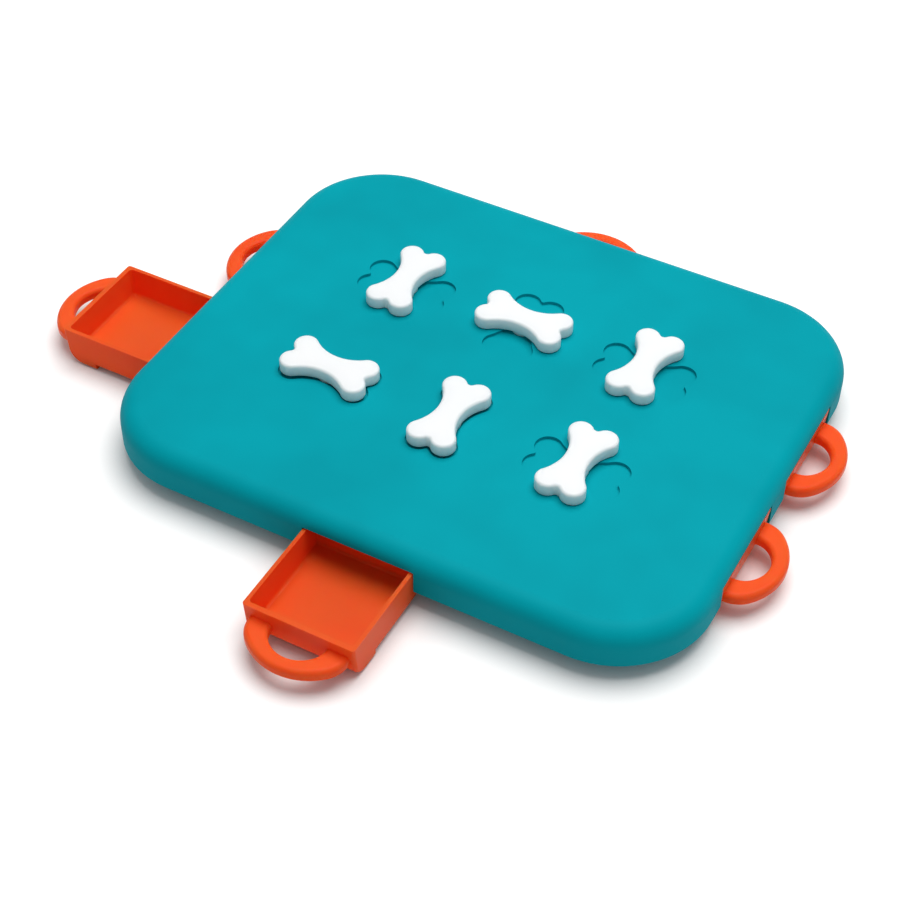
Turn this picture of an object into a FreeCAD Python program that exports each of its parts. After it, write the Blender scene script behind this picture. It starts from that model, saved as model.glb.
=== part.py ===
import FreeCAD, Part
import math
import os
import re
import Sketcher

Vector = FreeCAD.Vector
Rotation = FreeCAD.Rotation

# Driving sizes in millimetres, angles in degrees.
# Heights are measured from the underside of the base plate, which is z = 0.
SIZES = [
    ("board_length", 324.0, "outside length of the board"),
    ("board_width", 265.0, "outside width of the board"),
    ("corner_radius", 51.0, "corner radius of the board seen from above"),
    ("board_top", 30.5, "height of the board's top face"),
    ("cover_edge", 9.0, "height of the cover's lower edge"),
    ("edge_round", 10.0, "rounding all along the cover's top edge"),
    ("cover_wall", 2.5, "wall and roof of the cover"),
    ("lip_bevel", 0.6, "bevel on the cover's lower outside edge"),
    ("root_depth", 1.0, "how far a boss, rib or wall is rooted in what carries it"),
    ("base_gap", 0.5, "gap between the base's upstand and the cover's wall"),
    ("base_floor", 2.0, "floor of the base plate"),
    ("base_bevel", 9.0, "slanted lower edge of the base plate"),
    ("base_rise", 14.5, "height of the base plate's upstand"),
    ("foot_drop", 1.0, "how far the feet stand below the base plate"),
    ("foot_radius", 9.0, "radius of a rubber foot"),
    ("foot_seat", 0.8, "depth of a foot's recess in the base plate"),
    ("foot_x", 92.0, "place of the feet along the board"),
    ("foot_y", 96.0, "place of the feet across the board"),
    ("row_offset", 40.0, "centre line of the side drawers from the middle"),
    ("pivot_setback", 26.5, "knob axis behind the tray of a closed drawer"),
    ("drawer_width", 60.5, "outside width of a drawer"),
    ("drawer_depth", 65.0, "length of a drawer's tray"),
    ("drawer_rise", 19.0, "height of a tray from its underside to its rim"),
    ("drawer_lift", 0.4, "running gap between tray and base plate"),
    ("drawer_wall", 2.0, "wall of a tray at its rim"),
    ("drawer_floor", 2.0, "floor of a tray"),
    ("front_wall", 2.6, "front wall of a tray at its rim"),
    ("inner_draft", 2.0, "draft of a tray's inside walls, degrees"),
    ("inner_round", 1.5, "rounding round a tray's inside floor"),
    ("panel_lean", 2.0, "how far the front panel leans back to its foot"),
    ("panel_round", 9.0, "rounding of the front panel's foot"),
    ("panel_drop", 2.8, "how far the front panel reaches below the tray"),
    ("panel_depth", 18.7, "length of the drawer's deeper front part"),
    ("panel_wall", 2.2, "walls left round the hollow under that part"),
    ("rear_lean", 1.0, "how far the tray's rear wall leans forward to its foot"),
    ("side_round", 1.5, "rounding of a tray's front and lower long edges"),
    ("inner_corner", 2.2, "corner radius of a tray's inside at its rim"),
    ("mouth_depth", 10.0, "how far an opening is cut in from the board's side"),
    ("bay_gap", 0.5, "gap beside a drawer in its opening"),
    ("bay_head", 0.8, "gap above a drawer in its opening"),
    ("travel", 57.0, "full travel of a drawer"),
    ("front_open", 53.5, "how far the front drawer stands open"),
    ("handle_width", 54.0, "outside width of a handle loop"),
    ("handle_reach", 20.0, "reach of a handle loop from the panel"),
    ("handle_corner", 15.5, "outside corner radius of a handle loop"),
    ("hole_width", 29.0, "width of the hole in a handle loop"),
    ("hole_reach", 12.0, "reach of that hole from the panel"),
    ("hole_corner", 10.0, "corner radius of that hole"),
    ("handle_rise", 6.5, "height of the loop's band"),
    ("handle_drop", 6.5, "top of the loop below the tray's rim"),
    ("handle_round", 2.6, "rounding of the loop's upper edges"),
    ("handle_ease", 1.6, "rounding of the loop's lower edges"),
    ("tail_length", 41.0, "length of the tail behind the tray"),
    ("tail_width", 44.0, "width of the tail"),
    ("rail_gap", 15.0, "clear width between the tail's two rails"),
    ("rail_wall", 2.5, "thickness of a rail and of the tail's end webs"),
    ("lug_width", 4.5, "width of a stop lug"),
    ("lug_overlap", 3.6, "how far a stop lug reaches behind the stop rib"),
    ("stop_wall", 2.0, "thickness of a stop rib"),
    ("stop_gap", 0.3, "gap between lug and rib at full travel"),
    ("guide_wall", 1.8, "thickness of a drawer guide on the base plate"),
    ("guide_rise", 13.0, "height of a drawer guide above the base's floor"),
    ("bone_length", 50.0, "overall length of a bone knob"),
    ("bone_width", 26.5, "overall width of a bone knob"),
    ("bone_lobe", 6.5, "radius of a bone's lobes"),
    ("bone_waist", 13.4, "width of a bone's shank"),
    ("bone_notch", 2.2, "radius between two lobes of one end"),
    ("bone_rise", 7.2, "thickness of a bone knob"),
    ("bone_lift", 0.4, "gap between a bone and the board"),
    ("bone_round", 1.5, "rounding of a bone's upper edge"),
    ("bone_ease", 0.6, "rounding of a bone's lower edge"),
    ("recess_gap", 0.8, "how much larger than the bone its recess is"),
    ("recess_depth", 1.8, "depth of a bone recess"),
    ("recess_roof", 2.0, "wall left under a recess"),
    ("recess_wall", 1.8, "wall left round a recess"),
    ("back_turn", -2.0, "how the back knob stands, degrees from X"),
    ("left_turn", -2.0, "how the front left knob stands, degrees from X"),
    ("across_turn", 90.0, "how the other knobs stand, degrees from X"),
    ("stem_radius", 4.0, "radius of a knob's stem"),
    ("bore_gap", 0.06, "running gap between stem and bore"),
    ("hub_radius", 6.2, "radius of the shoulder under a bone"),
    ("hub_gap", 0.3, "gap between that shoulder and the recess's floor"),
    ("boss_wall", 3.0, "wall of the pivot boss"),
    ("boss_drop", 3.2, "length of the pivot boss under the recess"),
    ("key_side", 5.2, "side of the square key under the stem"),
    ("key_gap", 0.1, "gap round the square key"),
    ("cam_gap", 0.3, "gap between boss and cam"),
    ("cam_rise", 5.2, "height of a cam's hub"),
    ("cam_hub", 7.0, "radius of a cam's hub"),
    ("cam_length", 25.0, "length over a cam's two wings"),
    ("cam_width", 8.0, "width of a cam's wings"),
    ("cam_wing", 3.0, "thickness of a cam's wings"),
    ("pinch_gap", 0.3, "gap between a cam's wing and the rails"),
    ("screw_head", 3.2, "radius of a screw's head"),
    ("screw_head_rise", 1.9, "height of a screw's head"),
    ("screw_flat", 1.7, "radius of the flat on a screw's head"),
    ("screw_bulge", 0.15, "how far the head's rounding stands out from its chord"),
    ("drive_length", 2.9, "length of the cross recess in a screw's head"),
    ("drive_width", 0.7, "width of the cross recess"),
    ("drive_depth", 1.0, "depth of the cross recess"),
    ("screw_shank", 1.5, "radius of a screw's shank"),
    ("screw_gap", 0.15, "gap between a shank and its hole"),
    ("cam_screw_length", 8.0, "length of a cam screw's shank"),
    ("case_screw_length", 12.0, "length of a case screw's shank"),
    ("post_radius", 4.2, "radius of a screw post under the cover"),
    ("tower_rise", 3.4, "height of a screw tower above the base's floor"),
    ("tower_wall", 1.6, "wall round a screw's head in its tower"),
    ("post_x", 124.0, "place of the corner posts along the board"),
    ("post_y", 96.0, "place of the corner posts across the board"),
    ("post_middle", 36.0, "place of the middle posts along the board"),
]

doc = FreeCAD.newDocument("PuzzleFeeder")
sheet = doc.addObject("Spreadsheet::Sheet", "Sizes")
ALIASES = {alias for alias, size, note in SIZES}


def fill_sheet():
    """Writes each driving size, its alias and its note into a row of the spreadsheet."""
    for row, (alias, size, note) in enumerate(SIZES, start=1):
        sheet.set(f"A{row}", alias)
        sheet.set(f"B{row}", str(size))
        sheet.setAlias(f"B{row}", alias)
        sheet.set(f"C{row}", note)
    doc.recompute()


def formula(text):
    """Turns a formula in plain aliases into one that names the spreadsheet."""
    return re.sub(r"[a-z][a-z_]*", lambda word: linked(word.group(0)), text)


def linked(word):
    return f"Sizes.{word}" if word in ALIASES else word


def number(text):
    """Value of a formula, read through the spreadsheet."""
    return float(sheet.evalExpression(formula(text)))


def bind(item, prop, text):
    item.setExpression(prop, formula(text))


# Heights and places that several pieces share, each a formula in the driving sizes.
TRAY_BOTTOM = "(base_floor + drawer_lift)"
RIM = f"({TRAY_BOTTOM} + drawer_rise)"
BAY_HEAD = f"({RIM} + bay_head)"
ROOF = "(board_top - cover_wall)"
RECESS_FLOOR = "(board_top - recess_depth)"
PAD_BOTTOM = f"({RECESS_FLOOR} - recess_roof)"
BOSS_BOTTOM = f"({PAD_BOTTOM} - boss_drop)"
CAM_TOP = f"({BOSS_BOTTOM} - cam_gap)"
CAM_BOTTOM = f"({CAM_TOP} - cam_rise)"
RAIL_TOP = f"({CAM_BOTTOM} - pinch_gap)"
STOP_BOTTOM = f"({RIM} + bay_head)"
LUG_TOP = f"({STOP_BOTTOM} + lug_overlap)"
TAIL_END = "(drawer_depth + tail_length)"
STOP_FRONT = f"({TAIL_END} - rail_wall - travel - stop_gap - stop_wall)"
BONE_BOTTOM = "(board_top + bone_lift)"
TOWER_TOP = "(base_floor + tower_rise)"
HEAD_SEAT = f"({TOWER_TOP} - tower_wall)"
NOTCH_DEPTH = "(panel_depth + bay_gap)"
PANEL_BOTTOM = f"({TRAY_BOTTOM} - panel_drop)"
PANEL_RISE = "(drawer_rise + panel_drop)"
FOOT_Y = (f"((panel_round * sqrt(panel_lean^2 + {PANEL_RISE}^2) + ({PANEL_RISE} - panel_round) * panel_lean)"
          f" / {PANEL_RISE})")
HALF_LENGTH = "(board_length / 2)"
HALF_WIDTH = "(board_width / 2)"
PIVOT_INSET = "(drawer_depth + pivot_setback)"

# Each drawer bay: its name, the turn of its frame about Z, the place of its mouth on the board's side
# and how far the drawer stands open. In a bay's own frame the drawer pulls out along -Y.
BAYS = [
    ("front", 0, "0", f"-{HALF_WIDTH}", "front_open"),
    ("back", 180, "0", HALF_WIDTH, "0"),
    ("left_front", -90, f"-{HALF_LENGTH}", "-row_offset", "travel"),
    ("left_back", -90, f"-{HALF_LENGTH}", "row_offset", "0"),
    ("right_front", 90, HALF_LENGTH, "-row_offset", "0"),
    ("right_back", 90, HALF_LENGTH, "row_offset", "0"),
]
KNOB_TURNS = {
    "front": "across_turn",
    "back": "back_turn",
    "left_front": "left_turn",
    "left_back": "across_turn",
    "right_front": "across_turn",
    "right_back": "across_turn",
}
POSTS = [("post_x", "post_y"), ("-post_x", "post_y"), ("-post_x", "-post_y"), ("post_x", "-post_y"),
         ("post_middle", "0"), ("-post_middle", "0")]
FEET = {
    "foot_right_back": ("foot_x", "foot_y"),
    "foot_left_back": ("-foot_x", "foot_y"),
    "foot_left_front": ("-foot_x", "-foot_y"),
    "foot_right_front": ("foot_x", "-foot_y"),
}


# Sketch and feature helpers

def new_body(label):
    body = doc.addObject("PartDesign::Body", label)
    body.Label = label
    return body


def new_sketch(body, name, height="0", role="XY_Plane", x="0", y="0", turn=0.0):
    """A sketch on one of the body's own origin planes, shifted and turned in that plane."""
    sketch = body.newObject("Sketcher::SketchObject", f"{body.Name}_{name}_sketch")
    plane = next(item for item in body.Origin.OriginFeatures if item.Role == role)
    sketch.AttachmentSupport = [(plane, "")]
    sketch.MapMode = "FlatFace"
    sketch.AttachmentOffset = FreeCAD.Placement(Vector(0, 0, 0), Rotation(Vector(0, 0, 1), turn))
    bind(sketch, "AttachmentOffset.Base.x", x)
    bind(sketch, "AttachmentOffset.Base.y", y)
    bind(sketch, "AttachmentOffset.Base.z", height)
    return sketch


def place(sketch, kind, item, point, text):
    """Binds one coordinate of a sketch point to a formula."""
    if number(text) == 0:
        axis = -2 if kind == "DistanceX" else -1
        sketch.addConstraint(Sketcher.Constraint("PointOnObject", item, point, axis))
        return
    index = sketch.addConstraint(Sketcher.Constraint(kind, -1, 1, item, point, number(text)))
    bind(sketch, f"Constraints[{index}]", text)


def radius(sketch, item, text):
    index = sketch.addConstraint(Sketcher.Constraint("Radius", item, number(text)))
    bind(sketch, f"Constraints[{index}]", text)


def polygon(sketch, points):
    """A closed outline of straight lines through points given as pairs of formulas."""
    first = sketch.GeometryCount
    corners = [Vector(number(x), number(y), 0) for x, y in points]
    count = len(corners)
    for k in range(count):
        sketch.addGeometry(Part.LineSegment(corners[k], corners[(k + 1) % count]), False)
    for k in range(count):
        sketch.addConstraint(Sketcher.Constraint("Coincident", first + k, 2, first + (k + 1) % count, 1))
    for k, (x, y) in enumerate(points):
        place(sketch, "DistanceX", first + k, 1, x)
        place(sketch, "DistanceY", first + k, 1, y)


def rectangle(sketch, left, right, low, high):
    polygon(sketch, [(left, low), (right, low), (right, high), (left, high)])


def rounded_rectangle(sketch, left, right, low, high, corner):
    """A rectangle with round corners: four sides joined by tangent arcs of one radius."""
    x0, x1, y0, y1, size = (number(text) for text in (left, right, low, high, corner))
    centres = [(right, high, -1, -1), (left, high, 1, -1), (left, low, 1, 1), (right, low, -1, 1)]
    arcs = []
    for k, (x, y, x_sign, y_sign) in enumerate(centres):
        start = k * math.pi / 2
        centre_x = number(x) + x_sign * size
        centre_y = number(y) + y_sign * size
        arcs.append(arc(sketch, centre_x, centre_y, size, start, start + math.pi / 2))
    sides = [(x1 - size, y1, x0 + size, y1), (x0, y1 - size, x0, y0 + size),
             (x0 + size, y0, x1 - size, y0), (x1, y0 + size, x1, y1 - size)]
    for k, (start_x, start_y, end_x, end_y) in enumerate(sides):
        line = Part.LineSegment(Vector(start_x, start_y, 0), Vector(end_x, end_y, 0))
        side = sketch.addGeometry(line, False)
        tangent(sketch, arcs[k], 2, side, 1)
        tangent(sketch, side, 2, arcs[(k + 1) % 4], 1)
    for item, (x, y, x_sign, y_sign) in zip(arcs, centres):
        place(sketch, "DistanceX", item, 3, f"{x} + {x_sign} * ({corner})")
        place(sketch, "DistanceY", item, 3, f"{y} + {y_sign} * ({corner})")
    radius(sketch, arcs[0], corner)
    for item in arcs[1:]:
        sketch.addConstraint(Sketcher.Constraint("Equal", arcs[0], item))


def circle(sketch, x, y, size):
    item = sketch.addGeometry(Part.Circle(Vector(number(x), number(y), 0), Vector(0, 0, 1), number(size)))
    place(sketch, "DistanceX", item, 3, x)
    place(sketch, "DistanceY", item, 3, y)
    radius(sketch, item, size)


def arc(sketch, x, y, size, start, end):
    """An arc from one angle to another, counter-clockwise, in plain numbers."""
    turned = Part.Circle(Vector(x, y, 0), Vector(0, 0, 1), size)
    return sketch.addGeometry(Part.ArcOfCircle(turned, start, end), False)


def tangent(sketch, first, first_end, second, second_end):
    sketch.addConstraint(Sketcher.Constraint("Tangent", first, first_end, second, second_end))


def feature(body, kind, name, **links):
    """A new PartDesign feature with its plain properties set."""
    item = body.newObject(f"PartDesign::{kind}", f"{body.Name}_{name}")
    for prop, setting in links.items():
        setattr(item, prop, setting)
    return item


def pad(body, name, sketch, length, down=False):
    item = feature(body, "Pad", name, Profile=sketch, Reversed=down)
    bind(item, "Length", length)
    doc.recompute()
    return item


def pocket(body, name, sketch, length, up=False):
    """Cuts the sketch down, or up, by a length, and checks that it takes something away."""
    before = body.Shape.Volume
    item = feature(body, "Pocket", name, Profile=sketch, Reversed=up)
    bind(item, "Length", length)
    doc.recompute()
    if not body.Shape.Volume < before:
        raise RuntimeError(f"{item.Name} takes nothing away")
    return item


def edges(shape, wanted):
    return [f"Edge{k}" for k, edge in enumerate(shape.Edges, 1) if wanted(edge)]


def dress(body, kind, name, prop, size, wanted):
    """Rounds or bevels the edges of the body that a test picks."""
    base = body.Tip
    picked = edges(base.Shape, wanted)
    if not picked:
        raise RuntimeError(f"{body.Name} has no edge for {name}")
    item = feature(body, kind, name, Base=(base, picked))
    bind(item, prop, size)
    doc.recompute()
    return item


def fillet(body, name, size, wanted):
    return dress(body, "Fillet", name, "Radius", size, wanted)


def chamfer(body, name, size, wanted):
    return dress(body, "Chamfer", name, "Size", size, wanted)


def at_height(edge, height):
    """True for an edge that lies flat at a height."""
    box = edge.BoundBox
    return abs(box.ZMin - height) < 0.001 and abs(box.ZMax - height) < 0.001


def upright(edge):
    box = edge.BoundBox
    return box.XLength < 0.001 and box.YLength < 0.001


def set_place(item, x, y, turn="0"):
    """Places a sub-part by formulas and turns it about Z."""
    item.Placement = FreeCAD.Placement(Vector(0, 0, 0), Rotation(Vector(0, 0, 1), 0))
    bind(item, "Placement.Base.x", x)
    bind(item, "Placement.Base.y", y)
    bind(item, "Placement.Rotation.Angle", turn)


def turned_point(turn, x, y, centre_x, centre_y):
    """Formulas of a bay point in the board's frame, for a bay turned by whole right angles."""
    across, along = {0: (f"({x})", f"({y})"), 180: (f"-({x})", f"-({y})"),
                     -90: (f"({y})", f"-({x})"), 90: (f"-({y})", f"({x})")}[turn]
    return f"{centre_x} + {across}", f"{centre_y} + {along}"


def bay_rectangle(sketch, bay, left, right, low, high):
    """A rectangle given in a bay's own frame, drawn in the board's frame."""
    name, turn, mouth_x, mouth_y, opened = bay
    corners = [(left, low), (right, low), (right, high), (left, high)]
    polygon(sketch, [turned_point(turn, x, y, mouth_x, mouth_y) for x, y in corners])


def pivot(bay):
    name, turn, mouth_x, mouth_y, opened = bay
    return turned_point(turn, "0", PIVOT_INSET, mouth_x, mouth_y)


def slot(sketch, length, width):
    """A slot along X about the sketch's origin, with round ends, of an overall length and width."""
    half = number(f"({width}) / 2")
    end = number(f"({length} - ({width})) / 2")
    upper = sketch.addGeometry(Part.LineSegment(Vector(end, half, 0), Vector(-end, half, 0)), False)
    left = arc(sketch, -end, 0, half, math.pi / 2, 3 * math.pi / 2)
    lower = sketch.addGeometry(Part.LineSegment(Vector(-end, -half, 0), Vector(end, -half, 0)), False)
    right = arc(sketch, end, 0, half, -math.pi / 2, math.pi / 2)
    for joint in ((upper, 2, left, 1), (left, 2, lower, 1), (lower, 2, right, 1), (right, 2, upper, 1)):
        tangent(sketch, *joint)
    for sign, item in ((-1, left), (1, right)):
        place(sketch, "DistanceX", item, 3, f"{sign} * ({length} - ({width})) / 2")
        place(sketch, "DistanceY", item, 3, "0")
    radius(sketch, left, f"({width}) / 2")
    sketch.addConstraint(Sketcher.Constraint("Equal", left, right))


# Bone outline

def bone_outline(sketch, gap):
    """A dog bone along X: four lobes, two hollow shank sides and a notch at each end, all tangent arcs.

    The gap makes the whole outline larger, for the recess round the bone and the wall round that.
    """
    lobe = number(f"bone_lobe + {gap}")
    lobe_x = number("bone_length / 2 - bone_lobe")
    lobe_y = number("bone_width / 2 - bone_lobe")
    waist = number(f"bone_waist / 2 + {gap}")
    notch = number(f"bone_notch - {gap}")
    rise = waist - lobe_y
    side = (rise ** 2 + lobe_x ** 2 - lobe ** 2) / (2 * (lobe - rise))
    side_y = waist + side
    notch_x = lobe_x + math.sqrt((lobe + notch) ** 2 - lobe_y ** 2)
    to_side = math.atan2(side_y - lobe_y, -lobe_x)
    to_notch = math.atan2(-lobe_y, notch_x - lobe_x)
    turns = [(1, 1, to_notch, to_side), (-1, 1, math.pi - to_side, math.pi - to_notch),
             (-1, -1, math.pi + to_notch, math.pi + to_side), (1, -1, -to_side, -to_notch)]
    lobes = []
    for sign_x, sign_y, start, end in turns:
        lobes.append(arc(sketch, sign_x * lobe_x, sign_y * lobe_y, lobe, start, end))
    fan = math.atan2(side_y - lobe_y, lobe_x)
    upper = arc(sketch, 0, side_y, side, math.pi + fan, 2 * math.pi - fan)
    lower = arc(sketch, 0, -side_y, side, fan, math.pi - fan)
    slope = math.atan2(lobe_y, notch_x - lobe_x)
    left = arc(sketch, -notch_x, 0, notch, -slope, slope)
    right = arc(sketch, notch_x, 0, notch, math.pi - slope, math.pi + slope)
    for item, (sign_x, sign_y, start, end) in zip(lobes, turns):
        place(sketch, "DistanceX", item, 3, f"{sign_x} * (bone_length / 2 - bone_lobe)")
        place(sketch, "DistanceY", item, 3, f"{sign_y} * (bone_width / 2 - bone_lobe)")
    radius(sketch, lobes[0], f"bone_lobe + {gap}")
    for item in lobes[1:]:
        sketch.addConstraint(Sketcher.Constraint("Equal", lobes[0], item))
    joints = [(lobes[0], 2, upper, 2), (upper, 1, lobes[1], 1),
              (lobes[1], 2, left, 2), (left, 1, lobes[2], 1),
              (lobes[2], 2, lower, 2), (lower, 1, lobes[3], 1),
              (lobes[3], 2, right, 2), (right, 1, lobes[0], 1)]
    for joint in joints:
        tangent(sketch, *joint)
    length = "(bone_length / 2 - bone_lobe)"
    rise_text = f"(bone_waist / 2 - bone_width / 2 + bone_lobe + {gap})"
    lobe_text = f"(bone_lobe + {gap})"
    side_text = f"({rise_text}^2 + {length}^2 - {lobe_text}^2) / (2 * ({lobe_text} - {rise_text}))"
    for item in (upper, lower):
        radius(sketch, item, side_text)
    for item in (left, right):
        radius(sketch, item, f"bone_notch - {gap}")


# Handle outline

def loop_outline(sketch, kind, root):
    """Half of a loop's outline, for its outside ("handle") or its hole ("hole"), seen from above.

    Two sides start at y = root and end in round corners that a flatter crown arc joins.
    """
    half_text = f"({kind}_width / 2)"
    corner_text = f"{kind}_corner"
    reach_text = f"{kind}_reach"
    corner_x_text = f"({half_text} - {corner_text})"
    crown_text = (f"(({corner_x_text}^2 + {reach_text}^2 - {corner_text}^2)"
                  f" / (2 * ({reach_text} - {corner_text})))")
    half = number(half_text)
    corner = number(corner_text)
    corner_x = number(corner_x_text)
    crown = number(crown_text)
    crown_y = crown - number(reach_text)
    dip = math.atan2(crown_y, corner_x)
    end_y = number(root)
    right_side = sketch.addGeometry(Part.LineSegment(Vector(half, 0, 0), Vector(half, end_y, 0)), False)
    closing = sketch.addGeometry(Part.LineSegment(Vector(half, end_y, 0), Vector(-half, end_y, 0)), False)
    left_side = sketch.addGeometry(Part.LineSegment(Vector(-half, end_y, 0), Vector(-half, 0, 0)), False)
    left_arc = arc(sketch, -corner_x, 0, corner, math.pi, math.pi + dip)
    crown_arc = arc(sketch, 0, crown_y, crown, math.pi + dip, 2 * math.pi - dip)
    right_arc = arc(sketch, corner_x, 0, corner, -dip, 0)
    sketch.addConstraint(Sketcher.Constraint("Coincident", right_side, 2, closing, 1))
    sketch.addConstraint(Sketcher.Constraint("Coincident", closing, 2, left_side, 1))
    sketch.addConstraint(Sketcher.Constraint("Horizontal", closing))
    place(sketch, "DistanceY", closing, 1, root)
    tangent(sketch, left_side, 2, left_arc, 1)
    tangent(sketch, left_arc, 2, crown_arc, 1)
    tangent(sketch, crown_arc, 2, right_arc, 1)
    tangent(sketch, right_arc, 2, right_side, 1)
    for sign, item in ((-1, left_arc), (1, right_arc)):
        place(sketch, "DistanceX", item, 3, f"{sign} * {corner_x_text}")
        place(sketch, "DistanceY", item, 3, "0")
        radius(sketch, item, corner_text)
    sketch.addConstraint(Sketcher.Constraint("Vertical", right_side))
    sketch.addConstraint(Sketcher.Constraint("Vertical", left_side))
    radius(sketch, crown_arc, crown_text)


# Top cover

def make_cover():
    """The moulded board: a rounded shell open below, with drawer openings, recesses, bosses and posts."""
    body = new_body("top_cover")
    outline = new_sketch(body, "outline", "cover_edge")
    rectangle(outline, f"-{HALF_LENGTH}", HALF_LENGTH, f"-{HALF_WIDTH}", HALF_WIDTH)
    pad(body, "block", outline, "board_top - cover_edge")
    fillet(body, "corners", "corner_radius", upright)
    top = number("board_top")
    low = number("cover_edge")
    fillet(body, "edge", "edge_round", lambda edge: at_height(edge, top))
    base = body.Tip
    faces = [f"Face{k}" for k, face in enumerate(base.Shape.Faces, 1) if face.BoundBox.ZMax < low + 0.001]
    shell = feature(body, "Thickness", "shell", Base=(base, faces), Reversed=True)
    bind(shell, "Value", "cover_wall")
    doc.recompute()
    ring = next(face for face in body.Tip.Shape.Faces if face.BoundBox.ZMax < low + 0.001)
    chamfer(body, "lip", "lip_bevel", lambda edge: any(edge.isSame(side) for side in ring.OuterWire.Edges))
    cut_bays(body)
    cover_recesses(body)
    cover_posts(body)
    return body


def cut_bays(body):
    """The six openings for the drawers, up from the cover's lower edge."""
    openings = new_sketch(body, "openings", "cover_edge - root_depth")
    half = "drawer_width / 2 + bay_gap"
    for bay in BAYS:
        bay_rectangle(openings, bay, f"-({half})", half, "-cover_wall", "mouth_depth")
    pocket(body, "openings", openings, f"{BAY_HEAD} - cover_edge + root_depth", up=True)


def cover_recesses(body):
    """A bone recess over each bay, in line with its drawer, with a thicker roof and a bored boss below."""
    wider = "2 * (recess_gap + recess_wall)"
    for bay in BAYS:
        name, turn, mouth_x, mouth_y, opened = bay
        x, y = pivot(bay)
        under = new_sketch(body, f"{name}_pad", PAD_BOTTOM, x=x, y=y, turn=turn + 90)
        slot(under, f"bone_length + {wider}", f"bone_width + {wider}")
        pad(body, f"{name}_pad", under, f"{ROOF} - {PAD_BOTTOM} + root_depth")
    for bay in BAYS:
        name, turn, mouth_x, mouth_y, opened = bay
        x, y = pivot(bay)
        recess = new_sketch(body, f"{name}_recess", "board_top", x=x, y=y, turn=turn + 90)
        bone_outline(recess, "recess_gap")
        pocket(body, f"{name}_recess", recess, "recess_depth")
    bosses = new_sketch(body, "bosses", BOSS_BOTTOM)
    bores = new_sketch(body, "bores", "board_top")
    for bay in BAYS:
        x, y = pivot(bay)
        circle(bosses, x, y, "stem_radius + bore_gap + boss_wall")
        circle(bores, x, y, "stem_radius + bore_gap")
    pad(body, "bosses", bosses, "boss_drop + root_depth")
    pocket(body, "bores", bores, f"board_top - {BOSS_BOTTOM} + root_depth")


def cover_posts(body):
    """Screw posts down to the base's towers and the ribs that stop the drawers."""
    posts = new_sketch(body, "posts", TOWER_TOP)
    pilots = new_sketch(body, "pilots", TOWER_TOP)
    for x, y in POSTS:
        circle(posts, x, y, "post_radius")
        circle(pilots, x, y, "screw_shank + screw_gap")
    pad(body, "posts", posts, f"{ROOF} - {TOWER_TOP} + root_depth")
    pocket(body, "pilots", pilots, "case_screw_length", up=True)
    stops = new_sketch(body, "stops", STOP_BOTTOM)
    for bay in BAYS:
        for sign in ("-", ""):
            sides = [f"{sign}(tail_width / 2 - lug_width - bay_gap)", f"{sign}(tail_width / 2 + bay_gap)"]
            sides.sort(key=number)
            bay_rectangle(stops, bay, sides[0], sides[1], STOP_FRONT, f"{STOP_FRONT} + stop_wall")
    pad(body, "stops", stops, f"{ROOF} - {STOP_BOTTOM} + root_depth")


# Base plate

def make_base():
    """A shallow dish that closes the board below, notched for the drawer fronts, with guides and towers."""
    body = new_body("base_plate")
    inset = "(cover_wall + base_gap)"
    outline = new_sketch(body, "outline")
    rectangle(outline, f"-({HALF_LENGTH} - {inset})", f"{HALF_LENGTH} - {inset}",
              f"-({HALF_WIDTH} - {inset})", f"{HALF_WIDTH} - {inset}")
    pad(body, "block", outline, "base_rise")
    fillet(body, "corners", f"corner_radius - {inset}", upright)
    chamfer(body, "bevel", "base_bevel", lambda edge: at_height(edge, 0))
    base = body.Tip
    top = number("base_rise")
    faces = [f"Face{k}" for k, face in enumerate(base.Shape.Faces, 1) if face.BoundBox.ZMin > top - 0.001]
    shell = feature(body, "Thickness", "shell", Base=(base, faces), Reversed=True)
    bind(shell, "Value", "base_floor")
    doc.recompute()
    base_towers(body)
    base_guides(body)
    notches = new_sketch(body, "notches", "base_rise")
    half = "drawer_width / 2 + bay_gap"
    for bay in BAYS:
        bay_rectangle(notches, bay, f"-({half})", half, "-base_gap", NOTCH_DEPTH)
    pocket(body, "notches", notches, "base_rise + root_depth")
    return body


def base_towers(body):
    """Screw towers with sunk heads, and the recesses for the feet."""
    towers = new_sketch(body, "towers", "base_floor / 2")
    heads = new_sketch(body, "heads")
    holes = new_sketch(body, "holes")
    seats = new_sketch(body, "seats")
    for x, y in POSTS:
        circle(towers, x, y, "screw_head + screw_gap + tower_wall")
        circle(heads, x, y, "screw_head + screw_gap")
        circle(holes, x, y, "screw_shank + screw_gap")
    for x, y in FEET.values():
        circle(seats, x, y, "foot_radius")
    pad(body, "towers", towers, f"{TOWER_TOP} - base_floor / 2")
    pocket(body, "heads", heads, HEAD_SEAT, up=True)
    pocket(body, "holes", holes, f"{TOWER_TOP} + root_depth", up=True)
    pocket(body, "seats", seats, "foot_seat", up=True)


def base_guides(body):
    """Two upright guides on the base's floor, one on each side of every drawer."""
    guides = new_sketch(body, "guides", "base_floor / 2")
    for bay in BAYS:
        for sign in ("-", ""):
            near = "drawer_width / 2 + bay_gap"
            sides = [f"{sign}({near})", f"{sign}({near} + guide_wall)"]
            sides.sort(key=number)
            bay_rectangle(guides, bay, sides[0], sides[1], NOTCH_DEPTH, "drawer_depth")
    pad(body, "guides", guides, "guide_rise + base_floor / 2")


# Drawers

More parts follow.
